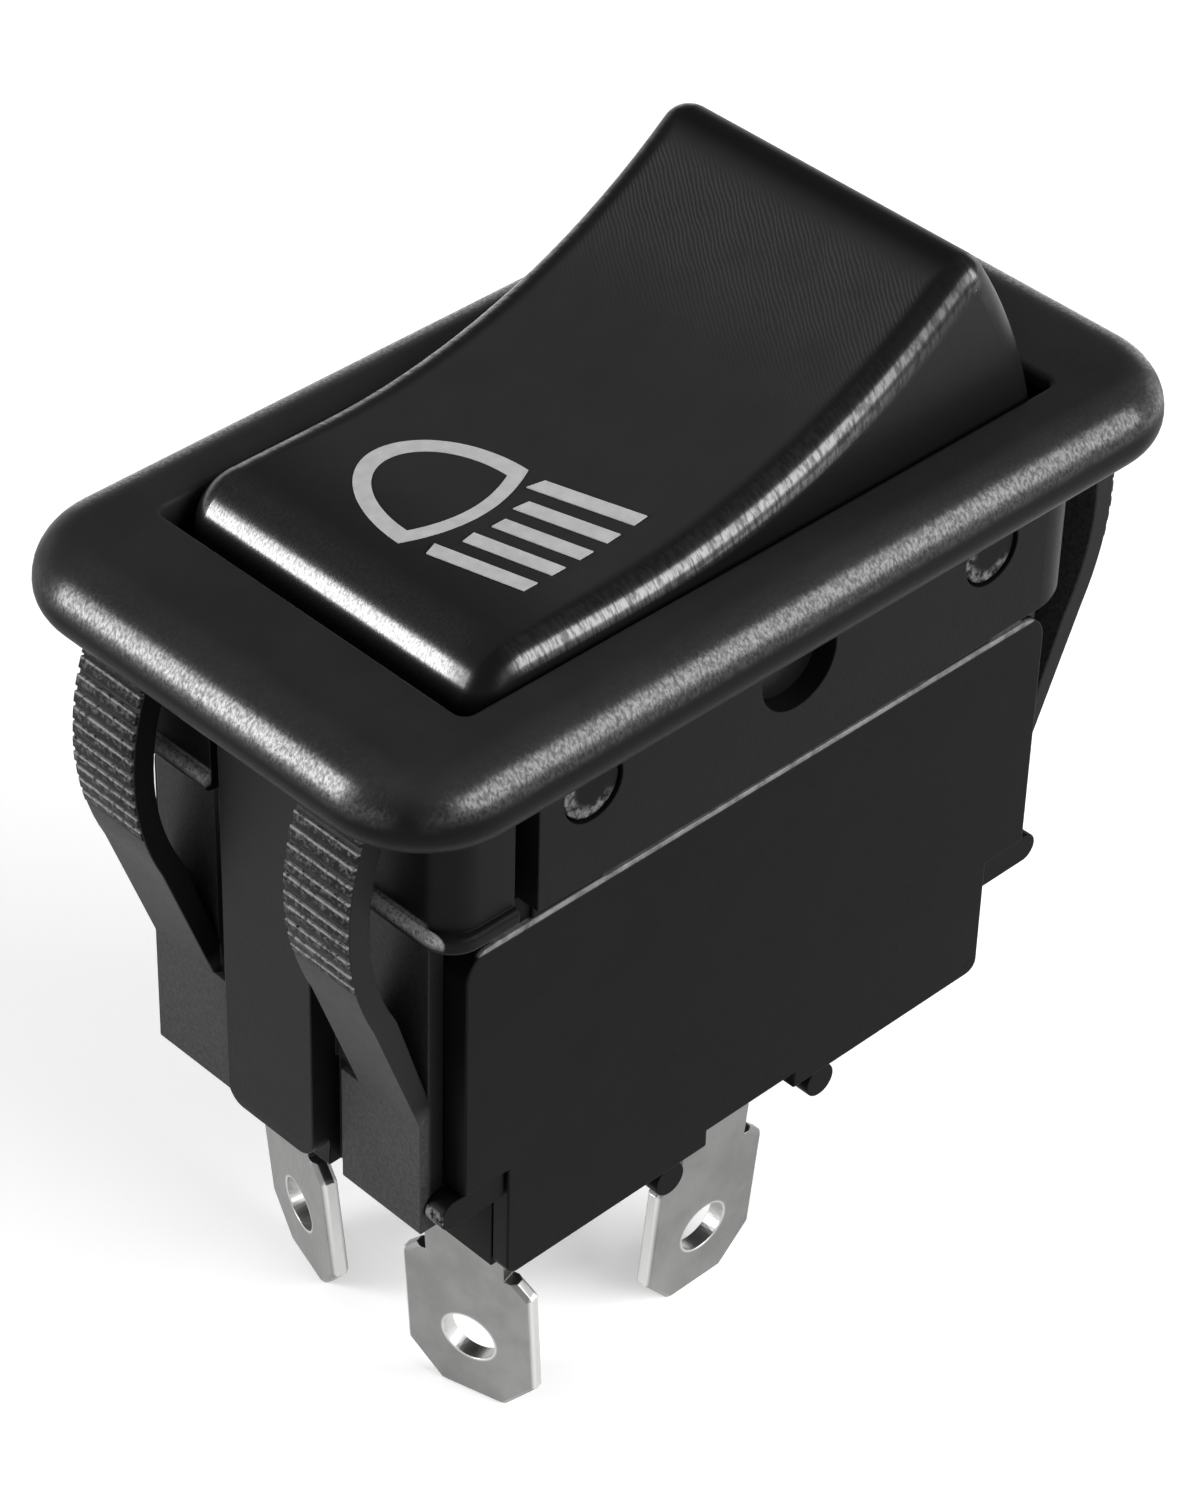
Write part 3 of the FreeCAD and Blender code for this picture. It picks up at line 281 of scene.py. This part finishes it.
# LAMP SYMBOL
# A pad-printed vehicle-lamp sign in light grey on the low half of the rocker: an arched lamp
# and five slanting beams. The ink is a film that follows the dish and the straight below it.
INK_LIFT, INK_THICKNESS = 0.03, 0.05
LAMP_X, LAMP_BASE, LAMP_HALF, LAMP_RISE, LAMP_BELLY = -6.62, -0.2, 3.3, 5.14, 0.8
INNER_BASE, INNER_HALF, INNER_RISE, INNER_BELLY = 0.16, 2.54, 4.0, 0.58
BEAMS, BEAM_PITCH, BEAM_WIDTH, BEAM_SLANT, BEAM_FOOT = 5, 1.41, 0.7, 0.26, -5.6
FIRST_FOOT, HEAD_LEVEL, HEAD_MIDDLE, HEAD_BOW, HEAD_SKEW, BEAM_REACH = -2.55, -1.83, -6.75, 12.5, 0.06, 4.2


def arch(form, base, half, rise, belly):
    """Closed loop: a half ellipse above and a shallow bow below, meeting in two corners."""
    for v in bmesh.ops.create_circle(form, segments=96, radius=1.0)["verts"]:
        up = v.co.y * rise if v.co.y > 0 else -belly * (1 - v.co.x ** 2)
        v.co = Vector((LAMP_X + v.co.x * half, base + up, 0))


symbol = bmesh.new()
arch(symbol, LAMP_BASE, LAMP_HALF, LAMP_RISE, LAMP_BELLY)
arch(symbol, INNER_BASE, INNER_HALF, INNER_RISE, INNER_BELLY)
bmesh.ops.bridge_loops(symbol, edges=symbol.edges)
for i in range(BEAMS):
    foot_x = FIRST_FOOT - i * BEAM_PITCH
    head = HEAD_LEVEL + (foot_x - BEAM_REACH * BEAM_SLANT - HEAD_MIDDLE) ** 2 / HEAD_BOW
    bar = bmesh.ops.create_grid(symbol, x_segments=1, y_segments=6, size=0.5)["verts"]
    for v in bar:
        top = head + (HEAD_SKEW if v.co.x < 0 else -HEAD_SKEW) * (2 - i)
        y = BEAM_FOOT + (v.co.y + 0.5) * (top - BEAM_FOOT)
        v.co = Vector((foot_x + v.co.x * BEAM_WIDTH - (y - BEAM_FOOT) * BEAM_SLANT, y, 0))
bmesh.ops.recalc_face_normals(symbol, faces=symbol.faces)
if sum(f.normal.z for f in symbol.faces) < 0:
    bmesh.ops.reverse_faces(symbol, faces=symbol.faces)
for v in symbol.verts:
    in_dish = max(v.co.x - DISH_X, -FLAT_START)
    v.co.z = DISH_FLOOR + DISH_RADIUS - math.sqrt(DISH_RADIUS ** 2 - in_dish ** 2) + INK_LIFT
    v.co.z += (in_dish - (v.co.x - DISH_X)) * FLAT_SLOPE
bmesh.ops.transform(symbol, verts=symbol.verts,
                    matrix=Matrix.Translation((0, 0, -PIVOT_DROP)) @ Matrix.Rotation(-ROCKER_TILT, 4, "Y"))
bmesh.ops.scale(symbol, verts=symbol.verts, vec=(MM, MM, MM))
print_film = built("lamp_symbol", symbol)
film = print_film.modifiers.new("ink", "SOLIDIFY")
film.thickness = INK_THICKNESS * MM
film.offset = -1.0
ink = Finish("lamp_ink", Specular_IOR_Level=0.4)
mottle = ink.noise(1.6, 4.0, 0.6)
grey = ink.mix(mottle.over(0.25, 0.75), (0.38, 0.38, 0.38, 1), (0.45, 0.45, 0.45, 1))
ink_grey = ink.set(Base_Color=grey, Roughness=0.5 + (mottle - 0.5) * 0.2,
                   Normal=ink.relief(ink.noise(7.0, 2.0), 0.006))
seat(print_film, "rocker", None, ink_grey)

# CASE AND BASE
# The box that hangs in the skirt and the insert that closes it from below, smooth black mouldings
# with edges that catch the light. Two studs at each side go through the skirt and are melted over.
STUD_X, STUD_Z, STUD_FACE, STUD_CRESCENT, STUD_LIT_SIDE = 11.05, -1.78, (10.15, 10.25), (0.7, 1.1), (0.8, -0.4)
PLATE_EDGE_Z, PLATE_EDGE_WIDTH, PLATE_FACE, PEG_END = -8.06, (0.2, 0.08), (9.0, 9.15), (-17.3, -17.4)
wall = Moulding("case_black", (0.002, 0.002, 0.0021), (0.0035, 0.0035, 0.0036), rough=0.42, gloss=0.045,
                grain=4.0, depth=0.004, Coat_Roughness=0.25, Coat_IOR=1.5)
highlight_breakup = wall.noise(1.1, 3.0, 0.7).over(0.2, 0.7)
# Painted highlight: a light, broken line along the top edge of each side plate.
plate_edge_highlight = abs(wall.z - PLATE_EDGE_Z).over(*PLATE_EDGE_WIDTH) * abs(wall.y).over(*PLATE_FACE)
plate_edge_highlight = plate_edge_highlight * (0.3 + highlight_breakup * 0.7)
off_x, off_z = wall.x - wall.x.math("SIGN") * STUD_X, wall.z - STUD_Z
# The melted stud heads are rough, lighter plastic; keeping the light crescent to the lower side of each stud
# is painted light.
melted = abs(wall.y).over(*STUD_FACE) * wall.noise(2.6, 3.0, 0.6).over(0.35, 0.65)
melted = melted * (off_x * off_x + off_z * off_z).math("SQRT").over(*STUD_CRESCENT)
melted = melted * (off_x + off_z).over(*STUD_LIT_SIDE)
# Painted highlight: the end faces of the pegs at the -X end are coloured light grey.
lit_peg_end = wall.x.over(*PEG_END) * wall.noise(2.2, 3.0, 0.7).over(0.4, 0.6)
# The light marks are the painted edge and peg highlights and the stud crescents, partly painted light.
marks = (plate_edge_highlight * 0.9).math("MAXIMUM", (melted * 0.9).math("MAXIMUM", lit_peg_end))
colour = wall.mix(marks, wall.colour(), (0.15, 0.15, 0.152, 1))
wall.fine = wall.fine + melted * 16.0
case_black = wall.done(colour, plate_edge_highlight)
seat(dressed("switch_case", "case", 0.09), "housing", "case_black", case_black, "switch_case")
seat(dressed("terminal_base", "base", 0.05), "housing", "case_black", case_black, "terminal_base")

# END CLIPS
# Each end has a moulded clip: a coarsely grained block, a smooth centre rib, and two springy
# arms whose upper faces are serrated to bite on the panel's edge.
ARM_MIDDLE, ARM_WIDTH, RIB_SIDE, CLIP_FACE, BLOCK_TOP = 6.205, 3.65, (2.62, 2.8), (17.0, 17.3), (-15.5, -16.5)
MATT = dict(rough=0.5, gloss=0.10, grain=4.5, depth=0.02)
face = Moulding("clip_black", (0.0045, 0.0045, 0.0047), (0.048, 0.048, 0.049), **MATT)
coarse = face.noise(5.0, 4.0, 0.75)
on_arm = abs(abs(face.y) - ARM_MIDDLE).over(ARM_WIDTH / 2, ARM_WIDTH / 2 - 0.06)
grained = abs(face.y).over(*RIB_SIDE) * abs(face.x).over(*CLIP_FACE)
grained = grained * on_arm.math("MAXIMUM", face.z.over(*BLOCK_TOP))
face.fine = face.fine * 0.4 + coarse * grained
clip_black = face.done(face.colour(grained * (0.55 + (coarse - 0.5) * 1.6)))
for node, name in (("end_clip_near", "clip_near"), ("end_clip_far", "clip_far")):
    seat(dressed(node, name, 0.07), "housing", "case_black", clip_black, node)

tooth = Moulding("clip_teeth", (0.003, 0.003, 0.0031), (0.075, 0.075, 0.076), **MATT)
height = tooth.node("ShaderNodeAttribute", dict(attribute_name="height"), {}, "Fac")
rib_glint_grain = tooth.noise(4.0, 3.0, 0.75)
# Painted light and shade: each rib is coloured darker towards its foot, with a light band along its top.
colour = tooth.colour(rib_glint_grain.over(0.45, 0.65) * height.over(0.0, 0.5))
colour = tooth.mix(height.over(0.72, 0.9) * rib_glint_grain.over(0.3, 0.55), colour, (0.21, 0.21, 0.212, 1))
tooth.fine = tooth.fine * 0.4 + rib_glint_grain
teeth_black = tooth.done(colour)

ARC_X, ARC_Z, ARC_RADIUS, FAR_SPREAD = 9.29, -5.05, 11.9, 0.35
TEETH, FIRST_TOOTH, TOOTH_STEP, TOOTH_SHARP = 11, 21.5, 3.45, math.radians(40)
TOOTH_HEIGHT, TOOTH_STAND, STAND_STEP, TOOTH_ROUND, SUNK, SIDE_PLAY = 0.54, 0.16, 0.011, 0.045, 0.1, 0.08
random.seed(4)


def serrations(name, end):
    """Flat-topped ribs across each arm of one clip, deep at the top and fading downwards."""
    form = bmesh.new()
    form.verts.layers.float.new("height")
    for side in (-1, 1):
        for i in range(TEETH):
            stand = TOOTH_STAND - STAND_STEP * i + random.uniform(-0.015, 0.015)
            tall = TOOTH_HEIGHT + random.uniform(-0.1, 0.06)
            rib = bmesh.new()
            bmesh.ops.create_cube(rib, size=1.0)
            bmesh.ops.scale(rib, verts=rib.verts, vec=(stand + 2 * SUNK, ARM_WIDTH - SIDE_PLAY, tall))
            bmesh.ops.bevel(rib, geom=rib.edges, offset=TOOTH_ROUND, affect="EDGES", segments=2,
                            profile=0.5, material=-1)
            height = rib.verts.layers.float.new("height")
            for v in rib.verts:
                v[height] = v.co.z / tall + 0.5
            lean = math.radians(FIRST_TOOTH - i * TOOTH_STEP + random.uniform(-0.3, 0.3))
            reach = ARC_RADIUS - SUNK + stand / 2
            out = ARC_X + reach * math.cos(lean) + (FAR_SPREAD if end > 0 else 0)
            place = Matrix.Translation((end * out, side * ARM_MIDDLE, ARC_Z + reach * math.sin(lean)))
            bmesh.ops.transform(rib, verts=rib.verts, matrix=place @ Matrix.Rotation(-end * lean, 4, "Y"))
            one = bpy.data.meshes.new("rib")
            rib.to_mesh(one)
            rib.free()
            form.from_mesh(one)
            bpy.data.meshes.remove(one)
    bmesh.ops.scale(form, verts=form.verts, vec=(MM, MM, MM))
    piece = built(name, form)
    piece.data.shade_smooth()
    piece.data.set_sharp_from_angle(angle=TOOTH_SHARP)
    return piece


for name, end in (("clip_serrations_near", -1), ("clip_serrations_far", 1)):
    seat(serrations(name, end), "housing", "case_black", teeth_black)

# TABS
# Four tinned brass blades stamped from strip: flat faces with a faint rolling grain, bevelled
# edges and a punched hole; the blade edges and the hole's rim are coloured lighter, a painted highlight.
COMMON_X, LOAD_X, LOAD_Y, LOAD_TURN, HOLE_Z = -0.6, -12.12, 5.3, (0.961, 0.276), -33.75
LOAD_SIDE, BLADE_SIDE, HOLE_RIM = -6.0, (2.95, 3.1), (1.42, 1.27)
tin = Finish("tinned_brass", Metallic=1.0)
streak = tin.noise(2.5, 4.0, 0.65, tin.stretched(3.0, 3.0, 0.35))
blotch = tin.noise(0.45, 3.0, 0.6)
outer = tin.x.math("LESS_THAN", LOAD_SIDE)
across = (tin.x - LOAD_X) * LOAD_TURN[1] + (abs(tin.y) - LOAD_Y) * LOAD_TURN[0]
across = across * outer + (tin.x - COMMON_X) * (1 - outer)
from_hole = (across * across + (tin.z - HOLE_Z) * (tin.z - HOLE_Z)).math("SQRT")
# Painted highlight: the blade edges and the rim of the hole are coloured light.
tab_edge_highlight = abs(across).over(*BLADE_SIDE).math("MAXIMUM", from_hole.over(*HOLE_RIM))
face = tin.mix(blotch.over(0.3, 0.7), (0.195, 0.195, 0.192, 1), (0.245, 0.245, 0.241, 1))
tinned = tin.set(Base_Color=tin.mix(tab_edge_highlight, face, (0.60, 0.60, 0.59, 1)),
                 Roughness=0.34 + (streak - 0.5) * 0.22 + (blotch - 0.5) * 0.1,
                 Normal=tin.relief(streak, 0.004))
for kind in ("load", "common"):
    for place in ("front", "rear"):
        node = "%s_terminal_%s" % (kind, place)
        seat(dressed(node, "%s_tab_%s" % (kind, place), 0.04), "housing", "tinned_brass", tinned, node)

# PLUNGERS AND SPRINGS
# Inside: two natural nylon plungers and their steel springs, under the rocker. A spring shortens
# by as much as its plunger goes in.
nylon = Moulding("white_nylon", (0.72, 0.71, 0.66), (0.80, 0.79, 0.75), rough=0.45, gloss=0.5, grain=5.0,
                 depth=0.004)
white_nylon = nylon.done(nylon.colour())
steel = Finish("spring_wire", Metallic=1.0)
drawn = steel.noise(6.0, 3.0, 0.6)
spring_steel = steel.set(Base_Color=steel.mix(drawn, (0.5, 0.5, 0.52, 1), (0.62, 0.62, 0.64, 1)),
                         Roughness=0.3 + drawn * 0.15, Normal=steel.relief(drawn, 0.003))
for place in ("front", "rear"):
    carried("plunger_" + place, white_nylon)
    carried("plunger_spring_" + place, spring_steel)
    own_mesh(solids["plunger_spring_" + place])

# CONTACTS
# Inside: formed copper-alloy seesaws with silver rivets, which meet the rivets on the tabs.
strip = Finish("contact_strip", Metallic=1.0)
tarnish = strip.noise(1.2, 4.0, 0.6)
strip_metal = strip.set(Base_Color=strip.mix(tarnish, (0.62, 0.42, 0.28, 1), (0.74, 0.54, 0.38, 1)),
                        Roughness=0.28 + tarnish * 0.18, Normal=strip.relief(tarnish, 0.003))
silver = Finish("contact_silver", Metallic=1.0)
worn = silver.noise(2.4, 4.0, 0.6)
silver_metal = silver.set(Base_Color=silver.mix(worn, (0.78, 0.77, 0.75, 1), (0.88, 0.88, 0.86, 1)),
                          Roughness=0.25 + worn * 0.25, Normal=silver.relief(worn, 0.003))
for place in ("front", "rear"):
    carried("seesaw_contact_" + place, strip_metal)
    carried("moving_contact_" + place, silver_metal)
    carried("fixed_contact_" + place, silver_metal)

# STUDIO
# A white table that goes on as far as the camera sees, a soft box at the left and a long one at
# the right that draw the lights along the rims, and the camera at the photograph's place.
FLOOR_LEVEL, FLOOR_HALF, FLOOR_GLOW, ROOM_LEVEL, AIM_HEIGHT = -37.4, 4.0, 0.36, 0.38, -5.0


def backdrop_rays(tree):
    """1 for the rays that show the background: the camera's, and those off metal or through glass."""
    rays = tree.nodes.new("ShaderNodeLightPath")
    total = rays.outputs["Is Camera Ray"]
    for kind in ("Is Glossy Ray", "Is Transmission Ray"):
        both = tree.nodes.new("ShaderNodeMath")
        both.operation = "MAXIMUM"
        tree.links.new(total, both.inputs[0])
        tree.links.new(rays.outputs[kind], both.inputs[1])
        total = both.outputs[0]
    return total


table_form = bmesh.new()
bmesh.ops.create_grid(table_form, x_segments=2, y_segments=2, size=FLOOR_HALF)
bmesh.ops.translate(table_form, verts=table_form.verts, vec=(0, 0, FLOOR_LEVEL * MM))
table_top = built("table_top", table_form)
white = bpy.data.materials.new("studio_white")
white.use_nodes = True
tree = white.node_tree
tree.nodes.clear()
end = tree.nodes.new("ShaderNodeOutputMaterial")
paper = tree.nodes.new("ShaderNodeBsdfDiffuse")
paper.inputs["Color"].default_value = (0.8, 0.8, 0.8, 1)
glow = tree.nodes.new("ShaderNodeEmission")
glow.inputs["Color"].default_value = (1, 1, 1, 1)
both = tree.nodes.new("ShaderNodeAddShader")
seen = tree.nodes.new("ShaderNodeMath")
seen.operation = "MULTIPLY"
seen.inputs[1].default_value = FLOOR_GLOW
tree.links.new(backdrop_rays(tree), seen.inputs[0])
tree.links.new(seen.outputs[0], glow.inputs["Strength"])
tree.links.new(paper.outputs[0], both.inputs[0])
tree.links.new(glow.outputs[0], both.inputs[1])
tree.links.new(both.outputs[0], end.inputs["Surface"])
table_top.data.materials.append(white)

world = bpy.data.worlds.new("studio")
bpy.context.scene.world = world
world.use_nodes = True
air = world.node_tree
air.nodes.clear()
end = air.nodes.new("ShaderNodeOutputWorld")
room = air.nodes.new("ShaderNodeBackground")
level = air.nodes.new("ShaderNodeMapRange")
level.inputs["To Min"].default_value = ROOM_LEVEL
air.links.new(backdrop_rays(air), level.inputs["Value"])
camera_sees = air.nodes.new("ShaderNodeMapRange")
camera_sees.inputs["To Max"].default_value = 1.0
rays = air.nodes.new("ShaderNodeLightPath")
air.links.new(rays.outputs["Is Camera Ray"], camera_sees.inputs["Value"])
heading = air.nodes.new("ShaderNodeTexCoord")
height = air.nodes.new("ShaderNodeSeparateXYZ")
# What reflections see: white near the horizon and a dim room above it
ceiling = air.nodes.new("ShaderNodeMapRange")
ceiling.interpolation_type = "SMOOTHSTEP"
for socket, number in (("From Min", 0.06), ("From Max", 0.36), ("To Min", 1.0), ("To Max", 0.12)):
    ceiling.inputs[socket].default_value = number
air.links.new(heading.outputs["Generated"], height.inputs["Vector"])
air.links.new(height.outputs["Z"], ceiling.inputs["Value"])
air.links.new(ceiling.outputs[0], camera_sees.inputs["To Min"])
air.links.new(camera_sees.outputs[0], level.inputs["To Max"])
air.links.new(level.outputs[0], room.inputs["Strength"])
room.inputs["Color"].default_value = (1, 1, 1, 1)
air.links.new(room.outputs[0], end.inputs["Surface"])


def lamp(name, towards, distance, wide, tall, power):
    """Soft box that faces the switch from a direction."""
    light = bpy.data.lights.new(name, "AREA")
    light.shape = "RECTANGLE"
    light.size, light.size_y, light.energy = wide, tall, power
    box = placed(name, light)
    out = Vector(towards).normalized()
    box.location = out * distance + Vector((0, 0, AIM_HEIGHT * MM))
    box.rotation_mode = "QUATERNION"
    across = Vector((0, 0, 1)).cross(out).normalized()
    box.rotation_quaternion = Matrix((across, out.cross(across), out)).transposed().to_quaternion()


lamp("left_soft_box", (-0.78, 0.54, 0.26), 0.40, 0.12, 0.24, 1.5)
lamp("right_soft_box", (0.33, -0.81, 0.46), 0.38, 0.42, 0.22, 2.0)

CAMERA_AZIMUTH, CAMERA_ELEVATION, CAMERA_ROLL = (math.radians(v) for v in (-45.041, 38.709, 1.722))
CAMERA_SHIFT, CAMERA_DISTANCE, CAMERA_LENS = (0.5185, 9.4404), 189.43, 114.635
right = Vector((math.cos(CAMERA_AZIMUTH), math.sin(CAMERA_AZIMUTH), 0))
back = Vector((math.sin(CAMERA_AZIMUTH) * math.cos(CAMERA_ELEVATION),
               -math.cos(CAMERA_AZIMUTH) * math.cos(CAMERA_ELEVATION), math.sin(CAMERA_ELEVATION)))
up = back.cross(right)
rolled_right = right * math.cos(CAMERA_ROLL) + up * math.sin(CAMERA_ROLL)
rolled_up = up * math.cos(CAMERA_ROLL) - right * math.sin(CAMERA_ROLL)
turn = Matrix((rolled_right, rolled_up, back)).transposed()
camera_data = bpy.data.cameras.new("camera")
camera_data.lens = CAMERA_LENS
camera_data.sensor_width = 36.0
camera_data.clip_start, camera_data.clip_end = 0.01, 20.0
camera = placed("camera", camera_data)
camera.rotation_mode = "QUATERNION"
camera.rotation_quaternion = turn.to_quaternion()
camera.location = turn @ Vector((-CAMERA_SHIFT[0], -CAMERA_SHIFT[1], CAMERA_DISTANCE)) * MM
bpy.context.scene.camera = camera
bpy.context.scene.view_settings.view_transform = "Standard"
